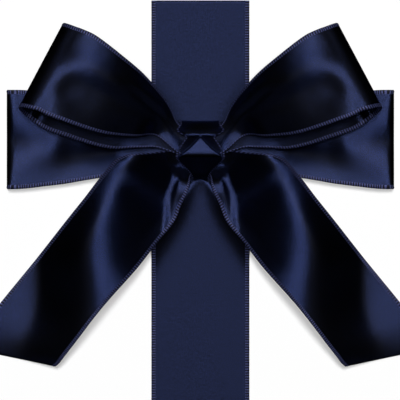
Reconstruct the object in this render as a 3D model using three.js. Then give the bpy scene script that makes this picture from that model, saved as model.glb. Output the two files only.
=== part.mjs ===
// A double bow tied in wide satin ribbon, lying face up on a flat band of the same ribbon.
// Millimetres, +Z up. The origin is at the middle of the knot in plan, at the underside of the band.
// The band runs along Y and the loops reach out along X. The bow is the same on both sides of X = 0.
import * as THREE from "three";

// Driving sizes
const RIBBON = { width: 38, sheet: 1.0 };
const BAND = { top: 58.9, bottom: -100.8 };
const HALF_SHEET = RIBBON.sheet / 2;
const BUTT_GAP = 0.6; // between the two hidden ends of a looped length, behind the knot

// Faces along and across each sheet
const STEPS = {
  lower: { along: 3, across: 8 },
  tails: { along: 3, across: 11 },
  upper: { along: 3, across: 11 },
  knot: { along: 3, across: 8 },
};

// Heights of the middle of each layer where it passes through the knot
const STACK = {
  knotBack: 1.8,
  lowerRear: 3.1,
  lowerFront: 4.4,
  tails: 5.8,
  upperRear: 7.2,
  upperFront: 8.5,
};

// A row of a sheet lies across the ribbon from its top edge to its low edge.
// z gives the height at the top edge, at the quarter points and at the low edge.
// pleat is the height of the small gathers, trough the depth of one long crease and at its place.
function row({ topX, topY, lowX, lowY, z, pleat = 0, trough = 0, at = 0.5 }) {
  const heights = typeof z === "number" ? [z, z, z, z, z] : z;
  return { topX, topY, lowX, lowY, heights, pleat, trough, at };
}

const PLEAT_WAVES = 2.5;
const TROUGH_WIDTH = 0.1;

// The points of one row, evenly spread over the width, on a smooth curve through its heights.
function rowPoints(r, across) {
  const profile = new THREE.CatmullRomCurve3(
    r.heights.map((z, i) => new THREE.Vector3(i, 0, z)),
    false,
    "catmullrom",
    0.5,
  );
  return Array.from({ length: across + 1 }, (_, j) => {
    const v = j / across;
    const gathers = r.pleat * Math.sin(Math.PI * v) * Math.cos(2 * Math.PI * PLEAT_WAVES * v);
    const crease = r.trough * Math.exp(-(((v - r.at) / TROUGH_WIDTH) ** 2));
    return new THREE.Vector3(
      THREE.MathUtils.lerp(r.topX, r.lowX, v),
      THREE.MathUtils.lerp(r.topY, r.lowY, v),
      profile.getPoint(v).z + gathers - crease,
    );
  });
}

// The middle surface of a sheet: a smooth curve along the ribbon through each column of the rows.
function middleSurface(rows, steps, closed) {
  const columns = [];
  const rowed = rows.map((r) => rowPoints(r, steps.across));
  const spans = closed ? rows.length : rows.length - 1;
  for (let j = 0; j <= steps.across; j += 1) {
    const curve = new THREE.CatmullRomCurve3(rowed.map((p) => p[j]), closed, "centripetal");
    const count = spans * steps.along;
    const last = closed ? count - 1 : count;
    columns.push(Array.from({ length: last + 1 }, (_, i) => curve.getPoint(i / count)));
  }
  return columns[0].map((_, i) => columns.map((column) => column[i]));
}

// The direction square to the surface at each point of a grid.
function gridNormals(grid, closed) {
  const last = grid.length - 1;
  return grid.map((points, i) => {
    const before = closed ? (i + last) % (last + 1) : Math.max(i - 1, 0);
    const after = closed ? (i + 1) % (last + 1) : Math.min(i + 1, last);
    return points.map((_, j) => {
      const along = grid[after][j].clone().sub(grid[before][j]);
      const left = points[Math.max(j - 1, 0)];
      const right = points[Math.min(j + 1, points.length - 1)];
      return along.cross(right.clone().sub(left)).normalize();
    });
  });
}

// A closed solid of even thickness round a middle surface.
function sheet(grid, closed) {
  const normals = gridNormals(grid, closed);
  const rows = grid.length;
  const columns = grid[0].length;
  const vertices = [];
  for (const side of [HALF_SHEET, -HALF_SHEET]) {
    grid.forEach((points, i) => {
      points.forEach((p, j) => {
        const vertex = p.clone().addScaledVector(normals[i][j], side);
        vertex.z = Math.max(vertex.z, 0); // flat where it lies on the surface
        vertices.push(...vertex.toArray());
      });
    });
  }
  const outer = (i, j) => (i % rows) * columns + j;
  const inner = (i, j) => rows * columns + outer(i, j);
  const faces = [];
  const quad = (a, b, c, d) => faces.push(a, b, c, a, c, d);
  const spans = closed ? rows : rows - 1;
  for (let i = 0; i < spans; i += 1) {
    for (let j = 0; j < columns - 1; j += 1) {
      quad(outer(i, j), outer(i + 1, j), outer(i + 1, j + 1), outer(i, j + 1));
      quad(inner(i, j), inner(i, j + 1), inner(i + 1, j + 1), inner(i + 1, j));
    }
    const edge = columns - 1;
    quad(outer(i, 0), inner(i, 0), inner(i + 1, 0), outer(i + 1, 0));
    quad(outer(i, edge), outer(i + 1, edge), inner(i + 1, edge), inner(i, edge));
  }
  if (!closed) {
    const end = rows - 1;
    for (let j = 0; j < columns - 1; j += 1) {
      quad(outer(0, j), outer(0, j + 1), inner(0, j + 1), inner(0, j));
      quad(outer(end, j), inner(end, j), inner(end, j + 1), outer(end, j + 1));
    }
  }
  const geometry = new THREE.BufferGeometry();
  geometry.setAttribute("position", new THREE.Float32BufferAttribute(vertices, 3));
  geometry.setIndex(faces);
  geometry.computeVertexNormals();
  return geometry;
}

// The right half of a bow's length is the left half seen in a mirror, back to front.
function mirrored(rows) {
  const others = rows.slice(0, -1).reverse();
  return [...rows, ...others.map((r) => ({ ...r, topX: -r.topX, lowX: -r.lowX }))];
}

// Rows round a fold, from the rear layer to the front one. out is the way the fold points in plan.
// The fold's half circle is drawn at the top edge and at the low edge, each with its own height.
const FOLD_ANGLES = [-60, -30, 0, 30, 60];

function foldRows({ top, low, out, radius, centres }) {
  return FOLD_ANGLES.map((degrees) => {
    const angle = THREE.MathUtils.degToRad(degrees);
    const reach = radius * Math.cos(angle);
    const side = (degrees + 90) / 180;
    const lerp = THREE.MathUtils.lerp;
    return row({
      topX: lerp(top.rearX, top.frontX, side) + out.x * reach,
      topY: lerp(top.rearY, top.frontY, side) + out.y * reach,
      lowX: lerp(low.rearX, low.frontX, side) + out.x * reach,
      lowY: lerp(low.rearY, low.frontY, side) + out.y * reach,
      z: centres.map((z) => z + radius * Math.sin(angle)),
    });
  });
}

// The two level loops behind. Rows run from the hidden end behind the knot to the outer fold,
// and back along the front layer to the middle.
const LOWER_REAR = [
  { x: -BUTT_GAP / 2, topY: 7.2, lowY: -4.0, z: STACK.lowerRear },
  { x: -8, topY: 7.6, lowY: -4.3, z: 3.15 },
  { x: -14, topY: 9.8, lowY: -5.2, z: 3.3 },
  { x: -20, topY: 11.8, lowY: -6.2, z: 3.1 },
  { x: -26, topY: 14.0, lowY: -7.5, z: 2.1 },
  { x: -33, topY: 16.8, lowY: -9.0, z: 0.95 },
  { x: -40, topY: 19.0, lowY: -10.2, z: 0.5 },
  { x: -52, topY: 21.8, lowY: -12.0, z: 0.5 },
  { x: -64, topY: 23.4, lowY: -13.4, z: 0.5 },
  { x: -70.8, topY: 23.9, lowY: -14.0, z: 0.5 },
];
const LOWER_FOLD = { radius: 3.6, x: -70.8, topY: 23.9, lowY: -14.0, z: 4.1 };
const LOWER_FRONT = [
  { x: -70.8, topY: 23.9, lowY: -14.0, z: [7.6, 7.7, 7.7, 7.7, 7.6] },
  { x: -62, topY: 23.2, lowY: -13.1, z: [7.2, 8.0, 8.3, 8.4, 7.5], trough: 0.6 },
  { x: -52, topY: 21.9, lowY: -11.8, z: [6.5, 7.6, 8.1, 8.3, 7.1], trough: 1.1 },
  { x: -42, topY: 19.6, lowY: -10.1, z: [5.8, 6.8, 7.4, 7.7, 6.6], trough: 1.1 },
  { x: -33, topY: 16.6, lowY: -8.6, z: [5.3, 6.0, 6.5, 6.7, 6.0], trough: 0.8 },
  { x: -24, topY: 13.2, lowY: -7.0, z: [4.9, 5.3, 5.5, 5.6, 5.3], trough: 0.3 },
  { x: -15, topY: 10.2, lowY: -5.4, z: [4.6, 4.75, 4.85, 4.85, 4.8] },
  { x: -8, topY: 7.8, lowY: -4.4, z: 4.45 },
  { x: 0, topY: 7.2, lowY: -4.0, z: STACK.lowerFront },
];
const LOWER_TROUGH_AT = 0.66;

function lowerLoops() {
  const level = (r) => row({ ...r, topX: r.x, lowX: r.x, at: LOWER_TROUGH_AT });
  const f = LOWER_FOLD;
  const fold = foldRows({
    top: { rearX: f.x, rearY: f.topY, frontX: f.x, frontY: f.topY },
    low: { rearX: f.x, rearY: f.lowY, frontX: f.x, frontY: f.lowY },
    out: { x: -1, y: 0 },
    radius: f.radius,
    centres: [f.z, f.z, f.z, f.z, f.z],
  });
  const left = [...LOWER_REAR.map(level), ...fold, ...LOWER_FRONT.map(level)];
  return sheet(middleSurface(mirrored(left), STEPS.lower, false), false);
}

// The two raised loops in front. run is measured from the outer fold toward the knot along the
// loop's slanting axis, top and low are the edges above and below that axis.
const UPPER_AXIS = { x: -61.4, y: 33.0, slant: 26.7 };
const UPPER_FOLD_RADIUS = 7;
const UPPER_REAR = [
  { run: 54, top: 4.5, low: -7.9, z: [7.9, 7.9, 8.0, 8.0, 8.0] },
  { run: 48, top: 8.0, low: -10.7, z: [8.2, 8.6, 8.9, 9.2, 9.3] },
  { run: 40, top: 11.5, low: -15.7, z: [7.6, 8.4, 9.1, 9.6, 9.8] },
  { run: 30, top: 14.5, low: -18.5, z: [6.6, 7.8, 9.0, 9.8, 10.0] },
  { run: 20, top: 16.5, low: -20.1, z: [5.8, 7.3, 8.8, 9.8, 10.1] },
  { run: 12, top: 17.0, low: -21.1, z: [5.2, 6.8, 8.4, 9.7, 10.1] },
  { run: 7, top: 17.8, low: -20.6, z: [5.0, 6.6, 8.2, 9.5, 10.1] },
];
const UPPER_FOLD = {
  rear: { top: 17.8, low: -20.6 },
  front: { top: 20.0, low: -15.8 },
  centres: [12.0, 13.6, 15.2, 16.4, 16.9],
};
const UPPER_FRONT = [
  { run: 7, top: 20.0, low: -15.8, z: [18.6, 20.5, 22.1, 23.3, 23.7] },
  { run: 12, top: 20.3, low: -15.2, z: [17.8, 20.9, 22.5, 23.2, 22.6] },
  { run: 18, top: 19.5, low: -14.4, z: [15.5, 19.3, 21.3, 21.9, 20.3] },
  { run: 25, top: 18.1, low: -13.4, z: [13.2, 16.8, 18.8, 19.3, 17.8] },
  { run: 32, top: 16.5, low: -12.2, z: [11.8, 14.6, 16.3, 16.6, 15.4], pleat: 0.4 },
  { run: 39, top: 14.4, low: -9.9, z: [10.8, 12.8, 14.0, 14.2, 13.3], pleat: 0.8 },
  { run: 46, top: 11.4, low: -6.6, z: [10.0, 11.2, 11.9, 12.0, 11.5], pleat: 0.8 },
  { run: 52, top: 7.8, low: -3.9, z: [9.3, 9.7, 10.0, 10.1, 9.9], pleat: 0.3 },
];

// Rows of the raised loops inside the knot, where the ribbon is gathered to a third of its width.
const UPPER_THROAT = {
  rearEnd: { topX: -BUTT_GAP / 2, topY: 9.8, lowX: -BUTT_GAP / 2, lowY: -1.5, z: STACK.upperRear },
  rearSide: { topX: -7.2, topY: 10.0, lowX: -7.2, lowY: -1.2, z: 7.4 },
  frontSide: { topX: -7.6, topY: 10.2, lowX: -8.4, lowY: -0.4, z: 8.8 },
  frontMiddle: { topX: 0, topY: 9.8, lowX: 0, lowY: -1.5, z: STACK.upperFront },
};

function upperLoops() {
  const slant = THREE.MathUtils.degToRad(UPPER_AXIS.slant);
  const inward = { x: Math.cos(slant), y: -Math.sin(slant) };
  const place = (run, side) => ({
    x: UPPER_AXIS.x + inward.x * run - inward.y * side,
    y: UPPER_AXIS.y + inward.y * run + inward.x * side,
  });
  const slanted = (r) => {
    const top = place(r.run, r.top);
    const low = place(r.run, r.low);
    return row({ ...r, topX: top.x, topY: top.y, lowX: low.x, lowY: low.y });
  };
  const corner = (rear, front) => {
    const a = place(UPPER_FOLD_RADIUS + HALF_SHEET, rear);
    const b = place(UPPER_FOLD_RADIUS + HALF_SHEET, front);
    return { rearX: a.x, rearY: a.y, frontX: b.x, frontY: b.y };
  };
  const fold = foldRows({
    top: corner(UPPER_FOLD.rear.top, UPPER_FOLD.front.top),
    low: corner(UPPER_FOLD.rear.low, UPPER_FOLD.front.low),
    out: { x: -inward.x, y: -inward.y },
    radius: UPPER_FOLD_RADIUS,
    centres: UPPER_FOLD.centres,
  });
  const left = [
    row(UPPER_THROAT.rearEnd),
    row(UPPER_THROAT.rearSide),
    ...UPPER_REAR.map(slanted),
    ...fold,
    ...UPPER_FRONT.map(slanted),
    row(UPPER_THROAT.frontSide),
    row(UPPER_THROAT.frontMiddle),
  ];
  return sheet(middleSurface(mirrored(left), STEPS.upper, false), false);
}

// The tails: one length from the cut end on the left, over a high soft arch, through the knot and
// out again on the right. top is the outer edge and low the edge beside the band. A trough beside the
// knot parts the arch from the lip of the low edge.
const TAIL_TROUGH_AT = 0.72;
const TAIL = [
  { topX: -91.3, topY: -76.0, lowX: -56.0, lowY: -82.8, z: [0.5, 0.5, 0.6, 1.6, 4.8] },
  { topX: -83.0, topY: -65.3, lowX: -53.5, lowY: -79.3, z: [0.5, 0.5, 0.9, 2.9, 6.1] },
  { topX: -74.0, topY: -54.0, lowX: -48.7, lowY: -73.1, z: [0.5, 1.0, 2.7, 5.4, 8.3] },
  { topX: -65.3, topY: -43.4, lowX: -40.6, lowY: -62.5, z: [1.3, 3.5, 6.4, 9.0, 10.9] },
  { topX: -57.5, topY: -33.6, lowX: -32.9, lowY: -53.4, z: [4.3, 7.2, 9.6, 11.1, 11.4] },
  { topX: -50.0, topY: -24.1, lowX: -24.7, lowY: -44.2, z: [7.2, 10.0, 11.4, 11.3, 10.0] },
  { topX: -44.0, topY: -16.6, lowX: -18.9, lowY: -36.8, z: [8.8, 11.2, 11.3, 10.3, 8.6], trough: 0.3 },
  { topX: -39.7, topY: -10.9, lowX: -14.2, lowY: -31.0, z: [9.2, 11.3, 10.9, 9.3, 7.3], trough: 0.7 },
  { topX: -36.2, topY: -6.3, lowX: -10.6, lowY: -25.8, z: [8.8, 11.2, 10.6, 8.6, 6.5], trough: 1.0 },
  { topX: -33.0, topY: -2.4, lowX: -7.6, lowY: -20.8, z: [8.2, 10.8, 10.1, 8.0, 6.0], trough: 1.1 },
  { topX: -29.0, topY: -0.1, lowX: -5.4, lowY: -16.4, z: [7.6, 10.0, 9.5, 7.5, 5.8], trough: 0.9 },
  { topX: -24.0, topY: 0.5, lowX: -4.2, lowY: -12.8, z: [7.2, 9.0, 8.7, 7.1, 5.6], trough: 0.5 },
  { topX: -17.5, topY: 0.6, lowX: -3.9, lowY: -10.4, z: [6.5, 7.3, 7.4, 6.6, 5.6], trough: 0.2 },
  { topX: -10.5, topY: 0.8, lowX: -3.5, lowY: -8.9, z: [5.9, 6.1, 6.2, 6.0, 5.6] },
  { topX: 0, topY: 1.2, lowX: 0, lowY: -7.5, z: STACK.tails },
];

function tails() {
  return sheet(middleSurface(mirrored(TAIL.map((r) => row({ ...r, at: TAIL_TROUGH_AT }))), STEPS.tails, false), false);
}

// The knot: a ring round the gathered lengths. y and z place the middle of the wrap, half is half
// of its width there, and droop is how far its two edges fall below its middle.
const KNOT = [
  { y: 0.0, z: STACK.knotBack, half: 8.0, droop: 0 },
  { y: 6.0, z: STACK.knotBack, half: 8.0, droop: 0 },
  { y: 9.2, z: 2.2, half: 7.4, droop: 0 },
  { y: 11.0, z: 3.9, half: 6.9, droop: 0 },
  { y: 11.5, z: 6.4, half: 6.8, droop: 0 },
  { y: 10.9, z: 9.6, half: 7.0, droop: 0 },
  { y: 8.6, z: 11.0, half: 10.2, droop: 0.1 },
  { y: 5.0, z: 11.4, half: 10.6, droop: 0.2 },
  { y: 1.0, z: 12.2, half: 8.8, droop: 0.6 },
  { y: -2.4, z: 12.6, half: 8.2, droop: 1.4 },
  { y: -6.0, z: 11.6, half: 5.6, droop: 1.0 },
  { y: -9.0, z: 9.2, half: 3.8, droop: 0.4 },
  { y: -10.7, z: 6.0, half: 2.8, droop: 0 },
  { y: -10.1, z: 3.6, half: 3.4, droop: 0 },
  { y: -8.4, z: 2.1, half: 4.6, droop: 0 },
  { y: -5.0, z: STACK.knotBack, half: 6.4, droop: 0 },
];

function knot() {
  const rows = KNOT.map((r) =>
    row({
      topX: r.half,
      topY: r.y,
      lowX: -r.half,
      lowY: r.y,
      z: [r.z - r.droop, r.z - r.droop / 4, r.z, r.z - r.droop / 4, r.z - r.droop],
    }),
  );
  return sheet(middleSurface(rows, STEPS.knot, true), true);
}

// The flat band under the bow.
function band() {
  const length = BAND.top - BAND.bottom;
  const geometry = new THREE.BoxGeometry(RIBBON.width, length, RIBBON.sheet);
  geometry.translate(0, BAND.bottom + length / 2, HALF_SHEET);
  return geometry;
}

function satin(colour) {
  return new THREE.MeshStandardMaterial({
    color: colour,
    roughness: 0.4,
    metalness: 0.2,
    side: THREE.DoubleSide,
  });
}

function piece(name, geometry, colour) {
  const mesh = new THREE.Mesh(geometry, satin(colour));
  mesh.name = name;
  return mesh;
}

const bow = new THREE.Group();
bow.add(
  piece("band", band(), 0x212947),
  piece("lower_loops", lowerLoops(), 0x222a4a),
  piece("tails", tails(), 0x222a4a),
  piece("upper_loops", upperLoops(), 0x232b4d),
  piece("knot", knot(), 0x242c50),
);

export default bow;
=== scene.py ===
# %% [markdown]
# # A tied bow of satin ribbon
# The object is a double bow tied in wide navy satin ribbon. It lies face up on a flat band of the
# same ribbon. A maker needs five lengths: the band, a length folded into two level loops, a length
# that crosses under the knot and hangs out as two tails, a length folded into two raised loops, and
# a short wrap that gathers them all at the middle.
#
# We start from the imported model. It holds every length as a plain sheet, one millimetre thick, and
# it stays as it is. Here each sheet is dressed in real cloth: thin, creased, with a woven edge and
# a satin finish.

# %% Load the frame
import math

import bpy
import numpy as np
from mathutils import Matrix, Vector


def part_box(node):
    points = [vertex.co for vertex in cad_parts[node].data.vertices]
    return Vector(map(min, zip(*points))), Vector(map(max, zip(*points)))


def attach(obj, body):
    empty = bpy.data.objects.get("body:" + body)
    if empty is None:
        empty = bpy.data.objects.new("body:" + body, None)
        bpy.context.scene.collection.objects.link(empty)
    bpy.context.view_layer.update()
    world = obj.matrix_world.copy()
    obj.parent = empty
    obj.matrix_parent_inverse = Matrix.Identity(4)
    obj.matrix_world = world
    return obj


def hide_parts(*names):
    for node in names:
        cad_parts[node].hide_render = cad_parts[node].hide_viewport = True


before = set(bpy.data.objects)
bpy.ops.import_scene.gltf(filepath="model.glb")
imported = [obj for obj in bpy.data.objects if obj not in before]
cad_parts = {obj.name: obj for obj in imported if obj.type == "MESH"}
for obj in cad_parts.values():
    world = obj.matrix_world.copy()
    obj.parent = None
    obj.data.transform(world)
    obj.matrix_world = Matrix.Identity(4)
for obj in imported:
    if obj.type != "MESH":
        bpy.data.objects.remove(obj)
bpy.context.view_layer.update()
print("nodes of the model:", sorted(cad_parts))

# %% [markdown]
# Blender works in metres, and ribbon is measured in millimetres. The tables below keep the maker's
# millimetres, and one factor turns them into metres when a mesh is made. The ribbon's width is read
# off the model's band, so the cloth always fits it.

# %% Sizes of the ribbon
MM = 0.001
band_low, band_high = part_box("band")
WIDTH = (band_high.x - band_low.x) / MM
CLOTH = 0.32  # thickness of the satin
EDGE_WIDTH = 1.7  # width of the woven edge
EDGE_BEAD = 0.14  # how much the woven edge is thicker on either face
EDGE_BEAD_AT = 0.45  # how far in from the very edge the bead is thickest
EDGE_BEAD_REACH = 0.35
EDGE_ROUNDING = 0.3  # the outermost strip, over which the edge is rounded off
print(f"ribbon {WIDTH:.1f} mm wide, cloth {CLOTH} mm thick")

# %% [markdown]
# A ribbon never bends in straight steps, so every shape here is a smooth curve through a few
# numbers. A natural cubic spline keeps its curvature continuous. That matters on satin, because
# its highlights show every break in the curvature.


# %% A smooth curve through a few values
def spline(places, values, wanted):
    """Values at the wanted places, on a natural cubic spline through (places, values)."""
    places = np.asarray(places, float)
    values = np.asarray(values, float)
    count = len(places)
    gap = np.diff(places)
    slope = np.diff(values, axis=0) / gap.reshape(-1, *([1] * (values.ndim - 1)))
    system = np.eye(count)
    right = np.zeros_like(values)
    for i in range(1, count - 1):
        system[i, i - 1 : i + 2] = gap[i - 1], 2 * (gap[i - 1] + gap[i]), gap[i]
        right[i] = 6 * (slope[i] - slope[i - 1])
    bend = np.linalg.solve(system, right.reshape(count, -1)).reshape(values.shape)
    wanted = np.asarray(wanted, float)
    i = np.clip(np.searchsorted(places, wanted) - 1, 0, count - 2)
    shape = (-1, *([1] * (values.ndim - 1)))
    h = gap[i].reshape(shape)
    a = (places[i + 1] - wanted).reshape(shape) / h
    b = 1 - a
    cubic = ((a**3 - a) * bend[i] + (b**3 - b) * bend[i + 1]) * h**2 / 6
    return a * values[i] + b * values[i + 1] + cubic


print("a curve through 0, 1 and 0, a quarter of the way:", spline([0, 1, 2], [0, 1, 0], [0.5]))

# %% [markdown]
# Each length of ribbon is described by rows. A row lies across the ribbon, from its top edge to its
# low edge, and holds the two edges in plan and the height at a few places between them. A row can
# also hold a long crease. Rows follow one another along the ribbon, so a short table says how a
# whole loop runs. A ribbon could also be bent by a simulation, but the folds of a bow are set by
# the hands that tied it, so they are given here row by row.


# %% Rows and the surface through them
ACROSS = 64  # faces across the ribbon
STEP = 1.0  # distance from one station to the next along the ribbon
CREASE_WIDTH = 0.08  # as a share of the ribbon's width


def row(top, low, z, trough=0.0, at=0.5):
    """One row across the ribbon: (x, y) of both edges, and its height or a few heights."""
    heights = [z] * 5 if isinstance(z, (int, float)) else z
    v = np.linspace(0, 1, ACROSS + 1)
    height = spline(np.linspace(0, 1, len(heights)), heights, v)
    height -= trough * np.exp(-(((v - at) / CREASE_WIDTH) ** 2))
    plan = np.outer(1 - v, top) + np.outer(v, low)
    return np.column_stack([plan, height])


def surface(rows):
    """A smooth grid of points through the rows."""
    rows = np.array(rows)
    gaps = np.linalg.norm(np.diff(rows, axis=0), axis=2).mean(axis=1)
    places = np.concatenate([[0], np.cumsum(np.sqrt(gaps))])
    stations = []
    for k, gap in enumerate(gaps):
        parts = max(2, round(gap / STEP))
        stations.extend(np.linspace(places[k], places[k + 1], parts, endpoint=False))
    stations.append(places[-1])
    return spline(places, rows, stations)


def mirror(rows):
    """The rows of a whole length, from those of its left half."""
    flip = np.ones(rows[0].shape[1])
    flip[0] = -1
    return rows + [r * flip for r in rows[-2::-1]]


print("a row has", ACROSS + 1, "points")

# %% [markdown]
# Cloth has two faces and a thickness. The woven edge is a little thicker than the rest, because the
# weft turns back there, and its very rim is rounded. Solidify could give an even thickness, but not
# this bead, so the two faces are worked out from the grid and its normals.


# %% The two faces of the cloth
def normals_of(grid):
    """The direction straight up from the cloth at every point of a grid."""
    along = np.gradient(grid, axis=0)
    across = np.gradient(grid, axis=1)
    normal = np.cross(along, across)
    return normal / np.linalg.norm(normal, axis=2, keepdims=True)


def half_thickness(across):
    """Half the cloth's thickness at each place across the ribbon."""
    from_edge = np.minimum(across, across[-1] - across)
    bead = np.exp(-(((from_edge - EDGE_BEAD_AT) / EDGE_BEAD_REACH) ** 2))
    rounded = np.sqrt(np.clip(from_edge / EDGE_ROUNDING, 0.04, 1))
    return (CLOTH / 2 + EDGE_BEAD * bead) * rounded


edge_profile = half_thickness(np.linspace(0, WIDTH, ACROSS + 1))
print(f"woven edge up to {2 * edge_profile.max():.2f} mm thick")

# %% [markdown]
# Each station becomes a closed ring of points: along the upper face, round the woven edge and back
# along the under face. Faces join each ring to the next, and a strip of faces closes both cut ends.
# The map of the cloth (its UVs) holds real millimetres along and across the ribbon, so the weave
# keeps its scale on every piece.


# %% From a grid to a piece of cloth
def cloth_faces(stations, points):
    """The faces round all the rings, and those that close the two cut ends."""
    size = 2 * points
    i, k = np.meshgrid(np.arange(stations - 1), np.arange(size), indexing="ij")
    beside = (k + 1) % size
    corners = [i * size + k, (i + 1) * size + k, (i + 1) * size + beside, i * size + beside]
    ends = []
    for k in range(points - 1):
        first = [k, k + 1, size - 2 - k, size - 1 - k]
        last = [(stations - 1) * size + n for n in reversed(first)]
        ends.extend([first, last])
    return np.stack(corners, -1).reshape(-1, 4).tolist() + ends


def cloth_map(grid, across):
    """Millimetres along and across the ribbon, for every point of every ring."""
    middle = grid[:, grid.shape[1] // 2]
    steps = np.linalg.norm(np.diff(middle, axis=0), axis=1)
    along = np.concatenate([[0], np.cumsum(steps)])
    there_and_back = np.concatenate([across, across[::-1]])
    both = np.broadcast_arrays(along[:, None], there_and_back[None, :])
    return np.stack(both, -1).reshape(-1, 2)


def cloth_mesh(name, grid):
    """A closed piece of cloth round a grid, in metres, with a map in millimetres."""
    stations, points = grid.shape[:2]
    across = np.linspace(0, WIDTH, points)
    lift = normals_of(grid) * half_thickness(across)[None, :, None]
    rings = np.concatenate([grid + lift, (grid - lift)[:, ::-1]], axis=1)
    mesh = bpy.data.meshes.new(name)
    vertices = rings.reshape(-1, 3) * MM
    mesh.from_pydata(vertices.tolist(), [], cloth_faces(stations, points))
    corners = np.zeros(len(mesh.loops), dtype=np.int32)
    mesh.loops.foreach_get("vertex_index", corners)
    layer = mesh.uv_layers.new(name="cloth")
    uv = cloth_map(grid, across)[corners]
    layer.data.foreach_set("uv", uv.ravel().astype(np.float32))
    mesh.shade_smooth()
    piece = bpy.data.objects.new(name, mesh)
    bpy.context.collection.objects.link(piece)
    print(f"{name}: {stations} stations, {len(mesh.polygons)} faces")
    return piece


# %% [markdown]
# The bow is the same on both sides, so a length is worked out once and cut at the middle of the
# knot. A mirrored grid would have its faces turned inward. Reading its rows from the other edge
# turns them out again.


# %% The left and the right piece
def halves(name, grid):
    """The left piece, up to the middle of the knot, and its mirror image on the right."""
    left_grid = grid[: grid.shape[0] // 2 + 1]
    right_grid = (left_grid * [-1, 1, 1])[:, ::-1]
    return cloth_mesh(name + "_left", left_grid), cloth_mesh(name + "_right", right_grid)


# %% [markdown]
# Where a loop turns back on itself it makes a soft fold, close to half a circle. These rows are
# worked out from the circle, because a spline through two or three rows would bulge. The edges of
# a ribbon are stiffer than its middle, so the fold may be squarer toward them.

# %% Rows round a fold
FOLD_ANGLES = (-75, -50, -25, 0, 25, 50, 75)
SQUARE_GROWTH = 1.2


def fold_rows(rear, front, out, radius, centres, rises, square=0):
    """Rows from the rear layer, round the fold, to the front layer.

    rear and front are each the top and the low edge in plan. centres are the heights of the
    fold's centre across the ribbon, and rises say how far the layers are above and below it.
    """
    v = np.linspace(0, 1, ACROSS + 1)
    power = 1 - square * np.abs(2 * v - 1) ** SQUARE_GROWTH
    rise = spline(np.linspace(0, 1, len(rises)), rises, v)
    made = []
    for degrees in FOLD_ANGLES:
        angle = math.radians(degrees)
        side = (degrees + 90) / 180
        top, low = np.array(rear) * (1 - side) + np.array(front) * side
        one = row(top, low, centres)
        one[:, :2] += np.outer(radius * math.cos(angle) ** power, out)
        one[:, 2] += rise * math.copysign(1, angle) * abs(math.sin(angle)) ** power
        made.append(one)
    return made


print("a fold has", len(FOLD_ANGLES), "rows")

# %% [markdown]
# ## The level loops
# The two loops behind lie nearly flat. Their rear layer rests on the surface, and their front layer
# is a few millimetres higher, with one long crease that runs from the fold in toward the knot. The
# ribbon narrows toward the knot, where it is gathered. The rows run straight down the picture here,
# so each needs only its place across the bow, its two edges and its heights.

# %% The level loops
LOWER_REAR = [
    dict(x=-0.3, top=7.2, low=-4.0, z=3.1),
    dict(x=-8, top=7.6, low=-4.3, z=3.15),
    dict(x=-14, top=9.8, low=-5.2, z=3.3),
    dict(x=-20, top=11.8, low=-6.2, z=3.1),
    dict(x=-26, top=14.0, low=-7.5, z=2.1),
    dict(x=-33, top=16.8, low=-9.0, z=0.95),
    dict(x=-40, top=19.0, low=-10.2, z=0.5),
    dict(x=-52, top=21.8, low=-12.0, z=0.5),
    dict(x=-64, top=23.4, low=-13.4, z=0.5),
    dict(x=-71.4, top=24.1, low=-14.4, z=0.5),
]
LOWER_FRONT = [
    dict(x=-71.4, top=24.1, low=-14.4, z=[7.6, 7.7, 6.8, 5.1, 6.85, 7.7, 7.6]),
    dict(x=-68, top=24.0, low=-14.2, z=[7.6, 7.7, 7.25, 5.95, 7.2, 7.7, 7.6]),
    dict(x=-65, top=23.7, low=-13.9, z=[7.5, 7.7, 7.5, 6.6, 7.4, 7.6, 7.6]),
    dict(x=-61, top=23.2, low=-13.4, z=[7.3, 7.6, 7.7, 7.3, 7.4, 7.4, 7.5]),
    dict(x=-56, top=22.6, low=-12.8, z=[7.0, 7.4, 7.7, 7.85, 7.05, 7.05, 7.45]),
    dict(x=-51, top=21.8, low=-12.1, z=[6.7, 7.2, 7.4, 7.3, 6.05, 6.7, 7.5]),
    dict(x=-46, top=20.6, low=-11.2, z=[6.4, 6.9, 7.1, 6.85, 5.25, 6.45, 7.55]),
    dict(x=-41, top=19.3, low=-10.3, z=[6.1, 6.6, 6.8, 6.2, 4.45, 6.2, 7.55]),
    dict(x=-36, top=17.7, low=-9.2, z=[5.8, 6.2, 6.4, 5.5, 3.7, 5.85, 7.4]),
    dict(x=-31, top=15.8, low=-8.3, z=[5.4, 5.8, 5.8, 4.7, 3.2, 5.5, 6.9]),
    dict(x=-24, top=13.2, low=-7.0, z=[4.9, 5.1, 4.9, 3.9, 3.8, 5.0, 5.9]),
    dict(x=-15, top=10.2, low=-5.4, z=[4.6, 4.7, 4.8, 4.6, 4.7, 4.8, 4.8]),
    dict(x=-8, top=7.8, low=-4.4, z=4.45),
    dict(x=0, top=7.2, low=-4.0, z=4.4),
]
LOWER_RADIUS = 3.6
LOWER_SQUARE = 0.6
LOWER_CENTRES = [4.05, 4.1, 3.6, 2.7, 3.65, 4.1, 4.05]
LOWER_RISES = [3.55, 3.6, 3.1, 2.2, 3.1, 3.55, 3.55]


def level_row(x, top, low, z):
    """A row straight down the picture."""
    return row((x, top), (x, low), z)


turn = LOWER_REAR[-1]
edges = ((turn["x"], turn["top"]), (turn["x"], turn["low"]))
lower_rows = [level_row(**r) for r in LOWER_REAR]
lower_rows += fold_rows(
    edges, edges, (-1, 0), LOWER_RADIUS, LOWER_CENTRES, LOWER_RISES, LOWER_SQUARE
)
lower_rows += [level_row(**r) for r in LOWER_FRONT]
lower_left, lower_right = halves("lower_loop", surface(mirror(lower_rows)))

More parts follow.
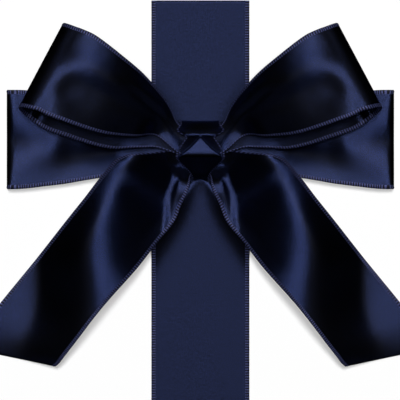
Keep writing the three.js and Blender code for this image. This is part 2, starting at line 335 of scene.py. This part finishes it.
# %% [markdown]
# ## The tails
# The tails come out of the knot side by side over the band, rise over a tall arch and fall to the
# surface. The arch runs down the picture, so it crosses each tail at a slant. Its profile is worked
# out from its crest and the slopes on both sides, because a crest as narrow as this needs a closer
# curve than five heights give. Its top has two edges: outside the first it falls to the surface,
# and inside the second it falls toward the knot.

# %% The arch of the tails
ARCH = [
    dict(y=-84, x=-45.6, z=14.0, outer=0.56, inner=0.28, soft=6.0, brow=9.0, low=4.0),
    dict(y=-73, x=-45.8, z=15.6, outer=0.66, inner=0.38, soft=5.5, brow=9.0, low=4.0),
    dict(y=-60, x=-46.0, z=17.5, outer=0.97, inner=0.48, soft=5.0, brow=9.0, low=4.0),
    dict(y=-47, x=-46.6, z=19.3, outer=1.18, inner=0.56, soft=4.2, brow=9.0, low=4.0),
    dict(y=-37, x=-45.3, z=20.4, outer=1.18, inner=0.65, soft=3.3, brow=6.5, low=3.4),
    dict(y=-28, x=-41.0, z=21.2, outer=1.12, inner=0.70, soft=3.2, brow=2.0, low=3.0),
    dict(y=-19, x=-36.7, z=21.2, outer=1.14, inner=0.78, soft=3.2, brow=0.4, low=1.7),
    dict(y=-9, x=-31.6, z=19.5, outer=1.14, inner=0.82, soft=2.9, brow=0.4, low=1.6),
    dict(y=-1, x=-27.0, z=16.5, outer=1.00, inner=0.66, soft=2.9, brow=1.0, low=4.2),
    dict(y=8, x=-21.8, z=12.6, outer=0.80, inner=0.46, soft=2.8, brow=0.8, low=4.8),
]
GROUND = 0.95  # height of a tail that lies on the surface
INNER_SOFT = 3.6  # how softly the inner edge of the arch's top is rounded
INSIDE_BLEND = 1.5
FOOT_SOFT = 2.5  # how softly the arch meets the surface, and how much less so inside
FOOT_TIGHTER = 1.6


def ramp(distance, softness):
    """Nothing on the near side, the distance itself on the far side, and smooth between."""
    return (np.sqrt(distance**2 + softness**2) + distance) / 2


def arch_height(x, y):
    """Height of the tail over a point of the plan."""
    places = [r["y"] for r in ARCH]
    crest_x, crest_z, outer, inner, soft, brow, low = (
        spline(places, [r[key] for r in ARCH], y.ravel()).reshape(y.shape)
        for key in ("x", "z", "outer", "inner", "soft", "brow", "low")
    )
    fall_outside = outer * ramp(crest_x - x, soft)
    fall_inside = inner * ramp(x - crest_x - brow, INNER_SOFT + brow / 2)
    fall = fall_outside + fall_inside
    inside = 1 / (1 + np.exp((crest_x - x) / INSIDE_BLEND))
    base = GROUND + (low - GROUND) * inside
    return base + ramp(crest_z - fall - base, FOOT_SOFT - FOOT_TIGHTER * inside)


print("the crest line is drawn at up to", max(r["z"] for r in ARCH), "mm, before it is rounded")

# %% [markdown]
# A tail's rows hold its two edges in plan. Their heights are added to the arch's: they raise the
# tail over what it lies on beside the knot. The inner edge of each tail curls up into a lip there,
# with a low ridge beside it, so a row also says how high both are and where the ridge runs.

# %% The tails
TAIL = [
    dict(top=(-91.3, -76.0), low=(-56.2, -83.2), z=-0.75),
    dict(top=(-88.4, -72.4), low=(-54.7, -81.9), z=-0.35),
    dict(top=(-83.0, -65.3), low=(-53.0, -79.7), z=0.05),
    dict(top=(-74.0, -54.0), low=(-48.2, -73.5), z=0.1),
    dict(top=(-65.3, -43.4), low=(-40.1, -62.9), z=0.1),
    dict(top=(-57.5, -33.6), low=(-32.4, -53.9)),
    dict(top=(-50.0, -24.1), low=(-24.2, -44.7), lip=0.2),
    dict(top=(-44.0, -16.6), low=(-18.5, -37.4), lip=0.7, at=1.2),
    dict(top=(-39.7, -10.9), low=(-13.6, -31.5), lip=1.8, ridge=0.4, at=1.03),
    dict(top=(-36.3, -6.8), low=(-9.7, -26.3), lip=2.8, ridge=1.0, at=0.905),
    dict(top=(-33.2, -3.3), low=(-7.6, -20.8), lip=2.7, ridge=1.2, at=0.838),
    dict(top=(-29.0, -1.2), low=(-5.4, -16.4), lip=1.3, ridge=1.2, at=0.788),
    dict(top=(-24.0, -0.6), low=(-4.2, -12.8), lip=0.9, ridge=0.8, at=0.75),
    dict(top=(-17.5, -0.1), low=(-3.9, -10.4), z=[-1.2, -0.5, 1.0, 1.0, 1.1], ridge=0.3, at=0.715),
    dict(top=(-10.5, 0.8), low=(-3.5, -8.9), z=[-0.7, 0.3, 1.5, 1.5, 1.2], at=0.68),
    dict(top=(0, 1.2), low=(0, -7.5), z=1.4, at=0.65),
]
LIP_START = 0.84  # places across the tail, from 0 at its top edge to 1 at its low edge
LIP_SOFT = 0.03
RIDGE_WIDTH = 0.05


def tail_row(top, low, z=0.0, lip=0.0, ridge=0.0, at=1.1):
    """A row with three more columns: the curl of its inner edge, and a ridge and its place."""
    extra = np.tile([lip, ridge, at], (ACROSS + 1, 1))
    return np.column_stack([row(top, low, z), extra])


tail_grid = surface(mirror([tail_row(**r) for r in TAIL]))
x, y, z, lip, ridge, at = np.moveaxis(tail_grid, 2, 0)
v = np.linspace(0, 1, ACROSS + 1)
z += arch_height(-abs(x), y)
z += lip * ramp(v - LIP_START, LIP_SOFT) / (1 - LIP_START)
z += ridge * np.exp(-(((v - at) / RIDGE_WIDTH) ** 2))
tail_left, tail_right = halves("tail", tail_grid[..., :3])
print(f"the tails rise to {z.max():.1f} mm")

# %% [markdown]
# ## The raised loops
# The two loops in front slant up and out, and stand open, so that one looks into them from below.
# Each is measured from its outer fold in toward the knot: run is the distance along the slanting
# axis, and top and low are the edges on either side of it. The front layer has two soft creases
# that run to the knot. Their troughs are a part of the rows, so they stay sharp where the heights
# alone would smooth them.

# %% Where the raised loops run
AXIS = dict(x=-61.4, y=33.0, slant=math.radians(26.7))
inward = np.array([math.cos(AXIS["slant"]), -math.sin(AXIS["slant"])])
sideways = np.array([-inward[1], inward[0]])


def beside_axis(run, side):
    """A point of the plan, from its distance along the slanting axis and to the side of it."""
    return np.array([AXIS["x"], AXIS["y"]]) + inward * run + sideways * side


def slanted_row(run, top, low, z, **crease):
    """A row square to the slanting axis."""
    return row(beside_axis(run, top), beside_axis(run, low), z, **crease)


print("the raised loops' axis starts at", beside_axis(0, 0))

# %% The raised loops
UPPER_REAR = [
    dict(run=54, top=4.5, low=-7.9, z=[7.8, 7.8, 7.8, 7.8, 7.9]),
    dict(run=50, top=7.0, low=-9.8, z=[7.8, 8.0, 8.2, 8.1, 8.0]),
    dict(run=46, top=9.0, low=-12.0, z=[7.6, 8.0, 8.4, 8.4, 8.2]),
    dict(run=42, top=10.7, low=-14.4, z=[7.4, 8.0, 8.4, 8.6, 8.2]),
    dict(run=38, top=12.3, low=-16.4, z=[7.2, 7.9, 8.4, 8.8, 8.6]),
    dict(run=30, top=14.5, low=-18.5, z=[6.2, 7.4, 8.4, 9.2, 9.5]),
    dict(run=20, top=16.5, low=-20.1, z=[5.0, 6.8, 8.4, 9.8, 10.6]),
    dict(run=12, top=17.0, low=-21.1, z=[4.0, 6.0, 8.2, 10.3, 11.3]),
    dict(run=7, top=17.8, low=-20.6, z=[3.1, 5.0, 7.4, 9.9, 11.2]),
]
UPPER_FRONT = [
    dict(run=6.6, top=20.0, low=-15.9, z=[17.3, 18.4, 19.9, 21.5, 22.4, 22.8, 22.8]),
    dict(run=9.2, top=20.2, low=-15.9, z=[18.3, 19.3, 20.9, 21.9, 22.4, 23.2, 23.5]),
    dict(run=12, top=20.3, low=-15.8, z=[18.9, 20.0, 21.7, 21.8, 22.0, 23.2, 23.8]),
    dict(run=15, top=20.0, low=-15.4, z=[19.1, 20.5, 22.2, 21.5, 21.7, 22.9, 23.8]),
    dict(run=18.5, top=19.4, low=-14.9, z=[19.1, 20.7, 22.4, 21.2, 21.5, 22.4, 23.5]),
    dict(run=23, top=18.5, low=-14.3, z=[18.8, 20.6, 22.2, 20.8, 21.15, 21.8, 22.8]),
    dict(run=28, top=17.4, low=-13.5, z=[17.8, 20.0, 21.5, 20.2, 20.6, 21.0, 21.7]),
    dict(run=34, top=16.0, low=-12.1, z=[15.8, 18.6, 19.8, 18.8, 19.2, 19.3, 19.8], trough=0.5, at=0.3),
    dict(run=40, top=14.0, low=-9.8, z=[13.5, 16.2, 17.2, 16.6, 17.0, 16.8, 16.8], trough=1.0, at=0.32),
    dict(run=46, top=11.4, low=-6.8, z=[11.5, 13.3, 13.9, 13.3, 13.6, 13.6, 13.4], trough=1.2, at=0.36),
    dict(run=52, top=7.8, low=-3.9, z=[9.6, 10.2, 10.3, 10.0, 9.8, 9.3, 9.2], trough=0.5, at=0.4),
]
UPPER_UNDER_KNOT = [
    dict(top=(-0.3, 9.8), low=(-0.3, -1.5), z=7.0),
    dict(top=(-7.2, 10.0), low=(-7.2, -1.2), z=[7.3, 7.2, 7.1, 7.2, 7.4]),
]
UPPER_BEHIND_WRAP = [
    dict(top=(-7.6, 10.2), low=(-8.4, -0.4), z=[8.7, 8.7, 8.9, 10.3, 11.5]),
    dict(top=(0, 9.8), low=(0, -1.5), z=[8.5, 8.5, 8.5, 8.8, 9.2]),
]
UPPER_TURN = dict(top=7.3, low=6.6)  # the run at which the fold begins, at either edge
UPPER_RADIUS = 7.5
UPPER_CENTRES = [10.0, 11.0, 12.5, 14.3, 15.3, 15.7, 15.8]
UPPER_RISES = [7, 7]

turning_edges = [
    [beside_axis(UPPER_TURN[edge], layer[edge]) for edge in ("top", "low")]
    for layer in (UPPER_REAR[-1], UPPER_FRONT[0])
]
upper_rows = [row(**r) for r in UPPER_UNDER_KNOT]
upper_rows += [slanted_row(**r) for r in UPPER_REAR]
upper_rows += fold_rows(*turning_edges, -inward, UPPER_RADIUS, UPPER_CENTRES, UPPER_RISES)
upper_rows += [slanted_row(**r) for r in UPPER_FRONT]
upper_rows += [row(**r) for r in UPPER_BEHIND_WRAP]
upper_left, upper_right = halves("upper_loop", surface(mirror(upper_rows)))

# %% [markdown]
# ## The knot
# A short wrap goes round all the lengths and gathers them. In front it shows one flat pleat that
# widens downward, like a small triangle, between two deeper sides. How the rest of the ribbon's
# width is folded in can't be seen, so only this outer layer is made. Its rows run round the stack
# of lengths, from its underside up behind it and down in front. Each says how wide the wrap is, how
# far its sides drop, how wide the pleat is and how deep the sides lie beside the pleat. A gathered
# cube would look plainer, and the rows keep it one piece of cloth.

# %% The knot
KNOT = [
    dict(y=0.0, z=1.8, half=8.8),
    dict(y=6.0, z=1.8, half=8.8),
    dict(y=9.6, z=2.2, half=8.8),
    dict(y=11.6, z=4.2, half=7.9),
    dict(y=12.1, z=6.6, half=7.8, side=1.0),
    dict(y=11.6, z=8.9, half=7.8, side=2.4),
    dict(y=10.0, z=10.8, half=8.2, side=2.4),
    dict(y=8.4, z=12.1, half=9.2, side=3.0),
    dict(y=7.2, z=12.9, half=7.8, side=2.4),
    dict(y=6.5, z=13.3, half=6.4, side=1.6, fold=0.2),
    dict(y=5.9, z=13.6, half=5.5, side=1.0, fold=0.9),
    dict(y=5.2, z=13.9, half=5.7, side=0.8, pleat=0.4, fold=1.5),
    dict(y=4.0, z=14.1, half=6.6, side=0.8, pleat=1.5, fold=2.1),
    dict(y=2.6, z=14.35, half=7.6, side=0.8, pleat=2.9, fold=2.8),
    dict(y=1.0, z=14.65, half=8.6, side=0.8, pleat=4.6, fold=3.5),
    dict(y=-0.6, z=14.85, half=9.4, side=0.8, pleat=6.6, fold=4.1),
    dict(y=-1.6, z=14.6, half=9.6, side=0.8, pleat=7.7, fold=4.0),
    dict(y=-2.4, z=13.6, half=9.4, side=1.0, pleat=8.0, fold=3.2),
    dict(y=-4.2, z=11.0, half=7.8, side=1.2, pleat=7.4, fold=1.0),
    dict(y=-6.6, z=8.0, half=5.2, side=0.8, pleat=5.2),
    dict(y=-9.0, z=5.4, half=3.4),
    dict(y=-10.4, z=3.6, half=3.0),
    dict(y=-9.8, z=2.4, half=3.6),
    dict(y=-8.0, z=1.8, half=5.0),
    dict(y=-4.6, z=1.8, half=7.0),
    dict(y=-0.4, z=1.8, half=9.0),
]
KNOT_STATIONS = 150
PLEAT_EDGE = 0.6  # how wide the step is from the pleat down to the sides


def knot_surface(table):
    """The wrap: round at its sides, with a flat pleat in front that widens downward."""
    keys = ("y", "z", "half", "side", "pleat", "fold")
    values = np.array([[r.get(key, 0.0) for key in keys] for r in table])
    steps = np.linalg.norm(np.diff(values[:, :2], axis=0), axis=1)
    places = np.concatenate([[0], np.cumsum(steps)])
    fine = spline(places, values, np.linspace(0, places[-1], KNOT_STATIONS))
    y, z, half, side, pleat, fold = (column[:, None] for column in fine.T)
    across = np.linspace(1, -1, ACROSS + 1)[None, :]
    x = across * half
    groove = np.clip((np.abs(x) - pleat) / PLEAT_EDGE, 0, 1)
    height = z - side * np.abs(across) ** 3 - fold * groove
    return np.stack(np.broadcast_arrays(x, y, height), -1)


knot = cloth_mesh("knot_wrap", knot_surface(KNOT))

# %% [markdown]
# ## The band
# The band is a flat length of ribbon, and its cut ends are at the model's own ends. Below the knot,
# where the bow is tied to it, it stands a little off the surface and sinks back within two
# centimetres. That lift is small, but satin shows it as a soft change of tone, so it is added to
# the flat grid as two smooth bumps: a low one in the middle and a longer one to either side.

# %% The band
BAND_Z = 0.5  # height of the flat band
TIED_AT = -5.9  # the line under the knot from which the band is lifted: its place,
TIED_SLANT = 1.55  # how fast it runs down to either side,
TIED_ROUND = 3  # and how round it is in the middle
TIED_SHARP = 0.3
MIDDLE_HALF, MIDDLE_LIFT, MIDDLE_REACH = 5, 0.5, 4
SIDE_LIFT, SIDE_REACH = 2.0, 9.5


def tied_lift(x, y):
    """How far the band stands up below the knot."""
    below = TIED_AT - TIED_SLANT * np.sqrt(x**2 + TIED_ROUND**2) - y
    central = np.exp(-((x / MIDDLE_HALF) ** 2))
    middle = MIDDLE_LIFT * central * np.exp(-ramp(below, 0.2) / MIDDLE_REACH)
    sides = SIDE_LIFT * (1 - central) * np.exp(-((ramp(below + 2.5, 0.5) / SIDE_REACH) ** 2))
    return (middle + sides) / (1 + np.exp(-(below + 1) / TIED_SHARP))


top_y, low_y = band_high.y / MM, band_low.y / MM
band_grid = surface(
    [row((-WIDTH / 2, y), (WIDTH / 2, y), BAND_Z) for y in np.linspace(low_y, top_y, 5)]
)
band_grid[..., 2] += tied_lift(band_grid[..., 0], band_grid[..., 1])
band = cloth_mesh("band_ribbon", band_grid)
print(f"band {top_y - low_y:.1f} mm long")

# %% [markdown]
# ## The satin
# Satin is a weave of long floating threads. It mirrors light softly and in its own colour, almost
# like a dull metal, and it stays dark where it faces nothing bright. A plain cloth shader would
# look like cotton, so the finish is a dark navy with a good deal of metallic reflection. The nodes
# are written as Python expressions, which read like the sums that they are. A small class wraps a
# socket for that, and one method makes every node.


# %% A helper for shader maths
class Val:
    """A socket that takes part in Python expressions."""

    def __init__(self, shader, socket):
        self.shader = shader
        self.socket = socket

    def _math(self, operation, *values):
        return self.shader.node("ShaderNodeMath", {"operation": operation}, values)

    def __add__(self, other):
        return self._math("ADD", self, other)

    def __sub__(self, other):
        return self._math("SUBTRACT", self, other)

    def __rsub__(self, other):
        return self._math("SUBTRACT", other, self)

    def __mul__(self, other):
        return self._math("MULTIPLY", self, other)

    def __truediv__(self, other):
        return self._math("DIVIDE", self, other)

    def __rtruediv__(self, other):
        return self._math("DIVIDE", other, self)

    __radd__ = __add__
    __rmul__ = __mul__

    def least(self, other):
        return self._math("MINIMUM", self, other)

    def part(self):
        """What is left after the whole number."""
        return self._math("FRACT", self)

    def root(self):
        return self._math("SQRT", self)

    def smooth(self, low, high):
        """0 below low, 1 above high, and smooth between."""
        limits = {"Value": self, "From Min": low, "From Max": high}
        return self.shader.node("ShaderNodeMapRange", {"interpolation_type": "SMOOTHSTEP"}, limits)


class Shader:
    """One material and its nodes."""

    def __init__(self, name):
        self.material = bpy.data.materials.new(name)
        self.material.use_nodes = True
        self.tree = self.material.node_tree
        self.surface = self.tree.nodes["Principled BSDF"]

    def node(self, kind, settings=None, inputs=(), outputs=(0,)):
        """A node with its settings and inputs, and one value for each wanted output."""
        made = self.tree.nodes.new(kind)
        for key, value in (settings or {}).items():
            setattr(made, key, value)
        pairs = inputs.items() if isinstance(inputs, dict) else enumerate(inputs)
        for key, value in pairs:
            self.feed(made.inputs[key], value)
        values = [Val(self, made.outputs[key]) for key in outputs]
        return values[0] if len(values) == 1 else values

    def feed(self, socket, value):
        if isinstance(value, Val):
            self.tree.links.new(value.socket, socket)
        else:
            socket.default_value = value


print("helpers for shaders are ready")

# %% [markdown]
# The threads float along the ribbon. Each is round, so the cloth mirrors light in a wide streak
# across the ribbon and a narrow one along it. Threads this fine can't be faces, so they turn the
# shading normal instead: a saw across the ribbon for the roundness of each thread, with some noise
# for the uneven fibres.

# %% The threads
THREAD = 0.16  # spacing of the floating threads, in millimetres
ROUND = 0.62  # how far a thread's own roundness turns its face, as a sine
UNEVEN = 0.5  # how far the fibres turn it across the ribbon
UNEVEN_ALONG = 0.06


def thread_normal(s, v, grain, body):
    """The direction that the threads face, as a normal map on the cloth."""
    saw = (v / THREAD).part() * 2 - 1
    across = (saw * ROUND + (grain - 0.5) * UNEVEN) * body
    along = (grain - 0.5) * UNEVEN_ALONG * body
    up = (1 - across * across - along * along).root()
    facing = {"X": along * 0.5 + 0.5, "Y": across * 0.5 + 0.5, "Z": up * 0.5 + 0.5}
    packed = s.node("ShaderNodeCombineXYZ", None, facing)
    return s.node("ShaderNodeNormalMap", {"uv_map": "cloth"}, {"Color": packed})


print(f"{WIDTH / THREAD:.0f} threads across the ribbon")

# %% [markdown]
# Along both edges the weft turns back in a row of small stitches. They catch more light than the
# satin and have dark gaps between them. Real stitches would need many thousands of faces, so they
# are painted along the bead of the edge, one to each millimetre.

# %% The stitches of the woven edge
TICK = 1.0  # spacing of the stitches along the woven edge, in millimetres
STITCH_COLOUR = (0.1, 0.115, 0.29, 1)
GAP_COLOUR = (0.003, 0.004, 0.016, 1)


def mixed(s, share, first, second):
    """One colour over another, by a share from 0 to 1."""
    sockets = {0: share, 6: first, 7: second}
    return s.node("ShaderNodeMix", {"data_type": "RGBA"}, sockets, (2,))


def stitch_colour(s, u):
    """Light stitches and the dark gaps between them."""
    turn = (u / TICK).part() * 2 - 1
    stitch = 1 - (turn * turn).smooth(0.08, 0.3)
    return mixed(s, stitch, GAP_COLOUR, STITCH_COLOUR)


print("a stitch each", TICK, "mm")

# %% [markdown]
# The whole finish joins them. A fine grain runs along the ribbon, and small spots are lighter and
# darker, as where threads lie a little higher. Both are noise on the map of the cloth, stretched
# along the ribbon, so they follow every fold. A thin coat gives the soft gloss of the pressed face.

# %% The satin
SATIN_BASE = (0.0235, 0.0345, 0.105, 1)
SATIN_ROUGHNESS = 0.20
EDGE_ROUGHER = 0.4
FIBRES = (0.9, 5.0)  # noise along and across the ribbon, per millimetre
SPOTS = (1.6, 2.6)


def cloth_noise(s, u, v, scales, detail):
    """Noise on the map of the cloth, with a scale along and one across the ribbon."""
    place = s.node("ShaderNodeCombineXYZ", None, {"X": u * scales[0], "Y": v * scales[1]})
    return s.node("ShaderNodeTexNoise", None, {"Vector": place, "Scale": 1.0, "Detail": detail})


def satin(name):
    s = Shader(name)
    cloth = s.node("ShaderNodeUVMap", {"uv_map": "cloth"})
    u, v = s.node("ShaderNodeSeparateXYZ", None, [cloth], ("X", "Y"))
    edge = v.least(WIDTH - v)
    selvedge = 1 - edge.smooth(EDGE_WIDTH - 0.25, EDGE_WIDTH)
    body = 1 - selvedge
    grain = cloth_noise(s, u, v, FIBRES, 2.0)
    glint = cloth_noise(s, u, v, SPOTS, 1.0)
    dyed = mixed(s, selvedge, SATIN_BASE, stitch_colour(s, u))
    tone = {0: dyed, "Scale": grain * 0.6 + glint * 2.6 - 0.6}
    colour = s.node("ShaderNodeVectorMath", {"operation": "SCALE"}, tone)
    finish = s.surface.inputs
    s.feed(finish["Base Color"], colour)
    s.feed(finish["Metallic"], body * 0.3 + 0.7)
    s.feed(finish["Roughness"], grain * 0.08 + SATIN_ROUGHNESS + selvedge * EDGE_ROUGHER)
    s.feed(finish["Normal"], thread_normal(s, v, grain, body))
    finish["Specular IOR Level"].default_value = 0.2
    finish["Coat Weight"].default_value = 0.12
    finish["Coat Roughness"].default_value = 0.5
    return s.material


left_side = [lower_left, tail_left, upper_left]
right_side = [lower_right, tail_right, upper_right]
middle = [knot, band]
navy_satin = satin("navy_satin")
for piece in left_side + right_side + middle:
    piece.data.materials.append(navy_satin)
print("finish:", navy_satin.name, "with", len(navy_satin.node_tree.nodes), "nodes")

# %% [markdown]
# ## The pieces and what they stand for
# A table lists for every piece of cloth the plain sheet of the model that it stands for, how it is
# held, what it rests on and its flat size. Each piece is attached to the body root, and its plain
# sheet is hidden. The mean lengths are those of the modelled cloth along its middle, to within a
# millimetre. The modelled edges differ from them: a loop's are up to 13 mm longer, which a real
# ribbon's would not be. A tail's longest edge is the modelled one, and the slant of its cut end
# explains about two thirds of what it is longer than the other. The wrap is given as the outer layer
# of a ribbon folded lengthwise in two. That is a guess, and its modelled surface is less than half of
# what the full width of the ribbon would have there.

# %% What each piece stands for
DRESSED = [
    # piece, node, width, longest edge, mean length, how it is held, what it rests on
    (lower_left, "lower_loops", WIDTH, 152, 152, "folded", ["band"]),
    (lower_right, "lower_loops", WIDTH, 152, 152, "folded", ["band"]),
    (tail_left, "tails", WIDTH, 131, 115, "draped", ["lower_loops"]),
    (tail_right, "tails", WIDTH, 131, 115, "draped", ["lower_loops"]),
    (upper_left, "upper_loops", WIDTH, 149, 149, "folded", ["lower_loops"]),
    (upper_right, "upper_loops", WIDTH, 149, 149, "folded", ["lower_loops"]),
    (knot, "knot", WIDTH / 2, 58, 58, "gathered", ["band"]),
    (band, "band", WIDTH, 159.7, 159.7, "laid", []),
]
for piece, node, width, longest, mean, held, rests in DRESSED:
    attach(piece, "root")
    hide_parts(node)
print("ribbon in the bow:", round(sum(mean for _, _, _, _, mean, _, _ in DRESSED)), "mm")

# %% [markdown]
# ## Floor, camera and light
# The bow lies on a plain, pale, matt surface. A large plane just under the band is enough. It must
# not show in the satin, or the undersides would turn grey, so glossy rays pass it by.

# %% The floor
bpy.ops.object.select_all(action="DESELECT")
bpy.ops.mesh.primitive_plane_add(size=3.0, location=(0, 0, -0.0002))
floor = bpy.context.object
floor.name = "floor"
paper = Shader("pale_paper")
paper.surface.inputs["Base Color"].default_value = (0.9, 0.9, 0.9, 1)
paper.surface.inputs["Roughness"].default_value = 1.0
paper.surface.inputs["Specular IOR Level"].default_value = 0.0
floor.data.materials.append(paper.material)
floor.visible_glossy = False
print("floor", floor.dimensions.x, "m wide")

# %% [markdown]
# The bow is looked at from straight above. A very long lens from far away keeps the picture almost
# free of perspective, so its scale is the same on the surface and at the loops.

# %% The camera
PICTURE = 155.1  # millimetres that the picture is wide, at the height of the loops
PHOTO_SIDE = 400  # pixels
MIDDLE_PIXEL = (200.4, 152)  # where the middle of the knot is in the picture
REFERENCE_Z = 8
LENS, SENSOR = 1000, 36
camera_data = bpy.data.cameras.new("camera")
camera_data.lens = LENS
camera_data.sensor_width = SENSOR
camera_data.clip_end = 50
camera = bpy.data.objects.new("camera", camera_data)
bpy.context.collection.objects.link(camera)
centre_x = (PHOTO_SIDE / 2 - MIDDLE_PIXEL[0]) * PICTURE / PHOTO_SIDE
centre_y = (MIDDLE_PIXEL[1] - PHOTO_SIDE / 2) * PICTURE / PHOTO_SIDE
distance = PICTURE * LENS / SENSOR
camera.location = Vector((centre_x, centre_y, REFERENCE_Z + distance)) * MM
bpy.context.scene.camera = camera
print("camera", [round(c, 3) for c in camera.location])

# %% [markdown]
# Satin shows what it mirrors, so the light is a few large soft boxes placed for their reflections.
# Each side of the bow has its own, above and behind it, with a brighter core: it lights the slopes
# that lean outward and leaves those that lean inward almost black. The knot and the band have one
# straight above and one behind. Two weak boxes low in front and behind keep the upright folds from
# going fully black when the bow is seen from the side. The surface has its own pair of lamps, so
# that its shadows are soft and pale. Light linking says which pieces each lamp lights.


# %% A soft box
LAMP_DISTANCE = 5.0


def soft_box(name, azimuth, from_top, size, radiance, lit, casting=None, shape="ELLIPSE"):
    """An area lamp turned to the bow, as bright as a surface of that radiance."""
    wide, high = size
    data = bpy.data.lights.new(name, "AREA")
    data.shape = shape
    data.size = wide
    data.size_y = high
    area = wide * high * (math.pi / 4 if shape == "ELLIPSE" else 1)
    data.energy = math.pi * area * radiance
    lamp = bpy.data.objects.new(name, data)
    bpy.context.collection.objects.link(lamp)
    a, t = math.radians(azimuth), math.radians(from_top)
    out = Vector((math.cos(a) * math.sin(t), math.sin(a) * math.sin(t), math.cos(t)))
    lamp.location = out * LAMP_DISTANCE
    lamp.rotation_mode = "QUATERNION"
    lamp.rotation_quaternion = out.to_track_quat("Z", "Y")
    lamp.visible_camera = False
    for kind, pieces in (("receiver", lit), ("blocker", casting)):
        if pieces:
            group = bpy.data.collections.new(f"{name}_{kind}s")
            for piece in pieces:
                group.objects.link(piece)
            setattr(lamp.light_linking, f"{kind}_collection", group)
    print(f"{name}: {data.energy:.0f} W over {len(lit)} pieces")


# %% The light
BEHIND, IN_FRONT = 90, 270  # azimuths, in degrees from the right-hand side
BOX_TURN, BOX_TILT = 28, 22  # how far a side's boxes are turned outward and tilted from the top
FILL_TILT, FILL_RADIANCE = 72, 0.13
FLOOR_TURN, FLOOR_TILT, FLOOR_RADIANCE = 35, 10, 57

soft_box("overhead", BEHIND, 0, (6.2, 1.05), 1.15, middle, shape="RECTANGLE")
soft_box("top_box", BEHIND, 24, (6.2, 3.25), 2.4, middle, shape="RECTANGLE")
for side, outward, lit in (("left", 1, left_side), ("right", -1, right_side)):
    azimuth = BEHIND + outward * BOX_TURN
    soft_box(f"{side}_box", azimuth, BOX_TILT, (2.6, 4.0), 3.5, lit)
    soft_box(f"{side}_core", azimuth, BOX_TILT, (1.6, 3.2), 5.3, lit)
for name, azimuth in (("front_fill", IN_FRONT), ("back_fill", BEHIND)):
    lit = left_side + right_side + [band]
    soft_box(name, azimuth, FILL_TILT, (7.0, 2.5), FILL_RADIANCE, lit)
for side, outward, casting in (("left", 1, left_side), ("right", -1, right_side)):
    azimuth = BEHIND + outward * FLOOR_TURN
    name = f"{side}_floor_lamp"
    soft_box(name, azimuth, FLOOR_TILT, (1.0, 1.0), FLOOR_RADIANCE, [floor], casting + middle)

# %% [markdown]
# The world is white, as in a bright room, but only the camera sees it. If the satin mirrored it, its
# blacks would turn grey. The standard view keeps the colours as they are.

# %% The world
world = bpy.data.worlds.new("studio")
bpy.context.scene.world = world
world.use_nodes = True
world.node_tree.nodes["Background"].inputs["Color"].default_value = (1, 1, 1, 1)
world.node_tree.nodes["Background"].inputs["Strength"].default_value = 1.0
world.cycles_visibility.glossy = False
world.cycles_visibility.diffuse = False
bpy.context.scene.view_settings.view_transform = "Standard"
print("world:", world.name)
